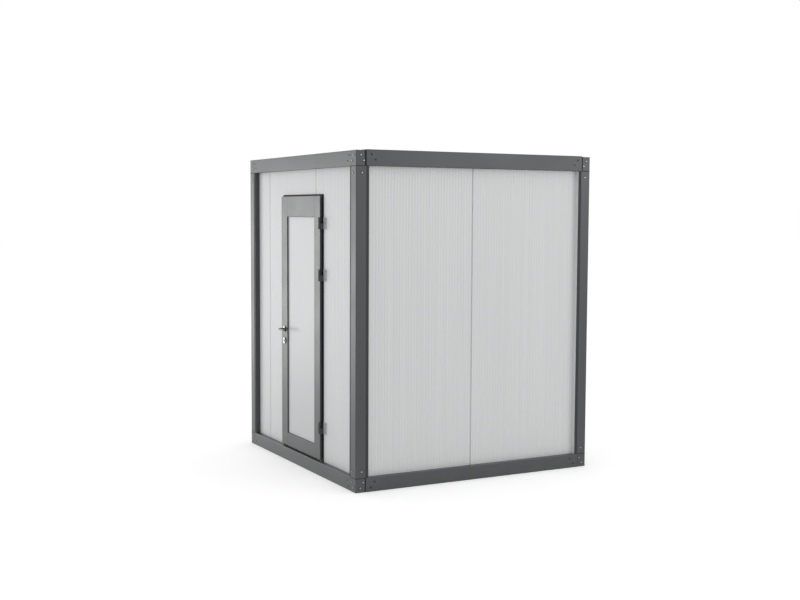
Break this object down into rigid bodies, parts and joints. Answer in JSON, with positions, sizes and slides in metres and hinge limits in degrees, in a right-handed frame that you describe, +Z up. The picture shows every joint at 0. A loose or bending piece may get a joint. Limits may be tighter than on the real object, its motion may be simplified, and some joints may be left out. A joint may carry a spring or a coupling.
{
  "type": "portable restroom cabin",
  "caption": "Small square cabin with an anthracite bolted steel frame, white ribbed sandwich-panel walls and a narrow panelled door that opens outward.",
  "frame": {"origin": "on the ground at the middle of the plan, on the underside of the floor", "axes": "+Z up; the wall with the door faces -Y; +X is to the right of someone who faces the door from outside"},
  "size_m": [2.21, 2.212, 2.606],
  "materials": {
    "frame_steel": "satin anthracite powder coat",
    "wall_panel": "satin white sheet with fine upright ribs",
    "white_trim": "satin white",
    "underfloor": "galvanised sheet",
    "floor_vinyl": "grey speckled vinyl",
    "roof_steel": "satin grey profiled sheet",
    "door_metal": "satin anthracite powder coat",
    "door_panel": "smooth satin-gloss white",
    "threshold_metal": "satin",
    "hinge_metal": "satin grey",
    "rubber_seal": "matt black",
    "handle_metal": "satin brushed"
  },
  "bodies": {
    "cabin": {"base_beam_front": "frame_steel", "base_beam_back": "frame_steel", "base_beam_left": "frame_steel", "base_beam_right": "frame_steel", "base_corners": "frame_steel", "post_front_left": "frame_steel", "post_front_right": "frame_steel", "post_back_left": "frame_steel", "post_back_right": "frame_steel", "roof_corners": "frame_steel", "roof_beam_front": "frame_steel", "roof_beam_back": "frame_steel", "roof_beam_left": "frame_steel", "roof_beam_right": "frame_steel", "front_wall_narrow": "wall_panel", "front_wall_lock_side": "wall_panel", "front_wall_hinge_side": "wall_panel", "front_wall_header": "wall_panel", "right_wall_front": "wall_panel", "right_wall_back": "wall_panel", "left_wall_front": "wall_panel", "left_wall_back": "wall_panel", "back_wall_left": "wall_panel", "back_wall_right": "wall_panel", "ceiling": "white_trim", "inner_corner_trims": "white_trim", "floor_cassette": "underfloor", "floor_covering": "floor_vinyl", "roof_sheet": "roof_steel", "door_jamb_lock": "door_metal", "door_jamb_hinge": "door_metal", "door_head": "door_metal", "door_threshold": "threshold_metal", "hinges_frame_side": "hinge_metal"},
    "door": {"door_stile_lock": "door_metal", "door_stile_hinge": "door_metal", "door_rail_top": "door_metal", "door_rail_bottom": "door_metal", "door_infill": "door_panel", "door_seal": "rubber_seal", "hinges_leaf_side": "door_metal", "door_roses": "handle_metal", "lock_cylinder": "handle_metal"},
    "lever": {"lever_outside": "handle_metal", "lever_inside": "handle_metal"}
  },
  "joints": [
    {"name": "door_hinge", "type": "hinge", "parent": "cabin", "child": "door", "pos_m": [0.413, -1.073, 0], "axis": [0, 0, 1], "range_deg": [0, 165]},
    {"name": "lever_turn", "type": "hinge", "parent": "door", "child": "lever", "pos_m": [-0.3355, -1.036, 1.129], "axis": [0, 1, 0], "range_deg": [0, 40], "stiffness_Nm_per_rad": 1.6, "springref_deg": -20.05}
  ]
}
